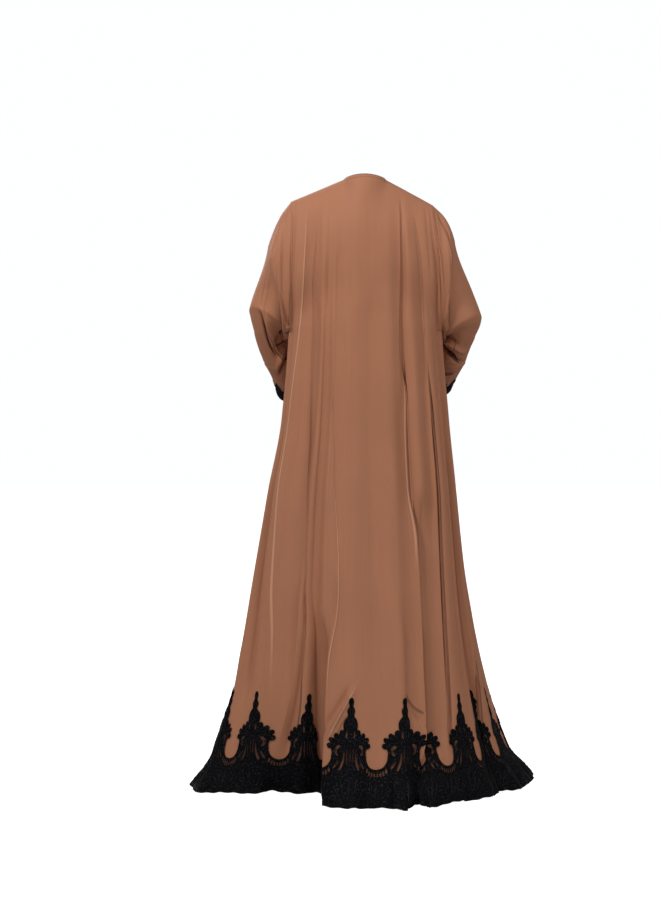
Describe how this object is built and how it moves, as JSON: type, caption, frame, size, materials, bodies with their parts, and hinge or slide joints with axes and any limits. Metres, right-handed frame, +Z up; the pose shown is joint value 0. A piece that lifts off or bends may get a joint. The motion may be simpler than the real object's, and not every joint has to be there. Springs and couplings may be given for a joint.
{
  "type": "abaya",
  "caption": "Long loose open-front abaya in its worn form, with a short train, deep bent sleeves and a lace border round the hem and cuffs.",
  "frame": {"origin": "between the neck ends of the two shoulder seams, where the wearer's shoulders carry the garment", "axes": "+Z up, -Y towards the front the wearer faces, +Y towards the back with the train, +X towards the wearer's left"},
  "size_m": [0.908, 0.7287, 1.6021],
  "materials": {
    "cloth": "smooth matt crepe, warm camel brown",
    "lace": "black corded lace"
  },
  "bodies": {
    "root": {"back": "cloth", "front_left": "cloth", "front_right": "cloth", "sleeve_left": "cloth", "sleeve_right": "cloth", "lace_hem_back": "lace", "lace_hem_front_left": "lace", "lace_hem_front_right": "lace", "lace_cuff_left_one": "lace", "lace_cuff_left_two": "lace", "lace_cuff_right_one": "lace", "lace_cuff_right_two": "lace"}
  },
  "joints": []
}
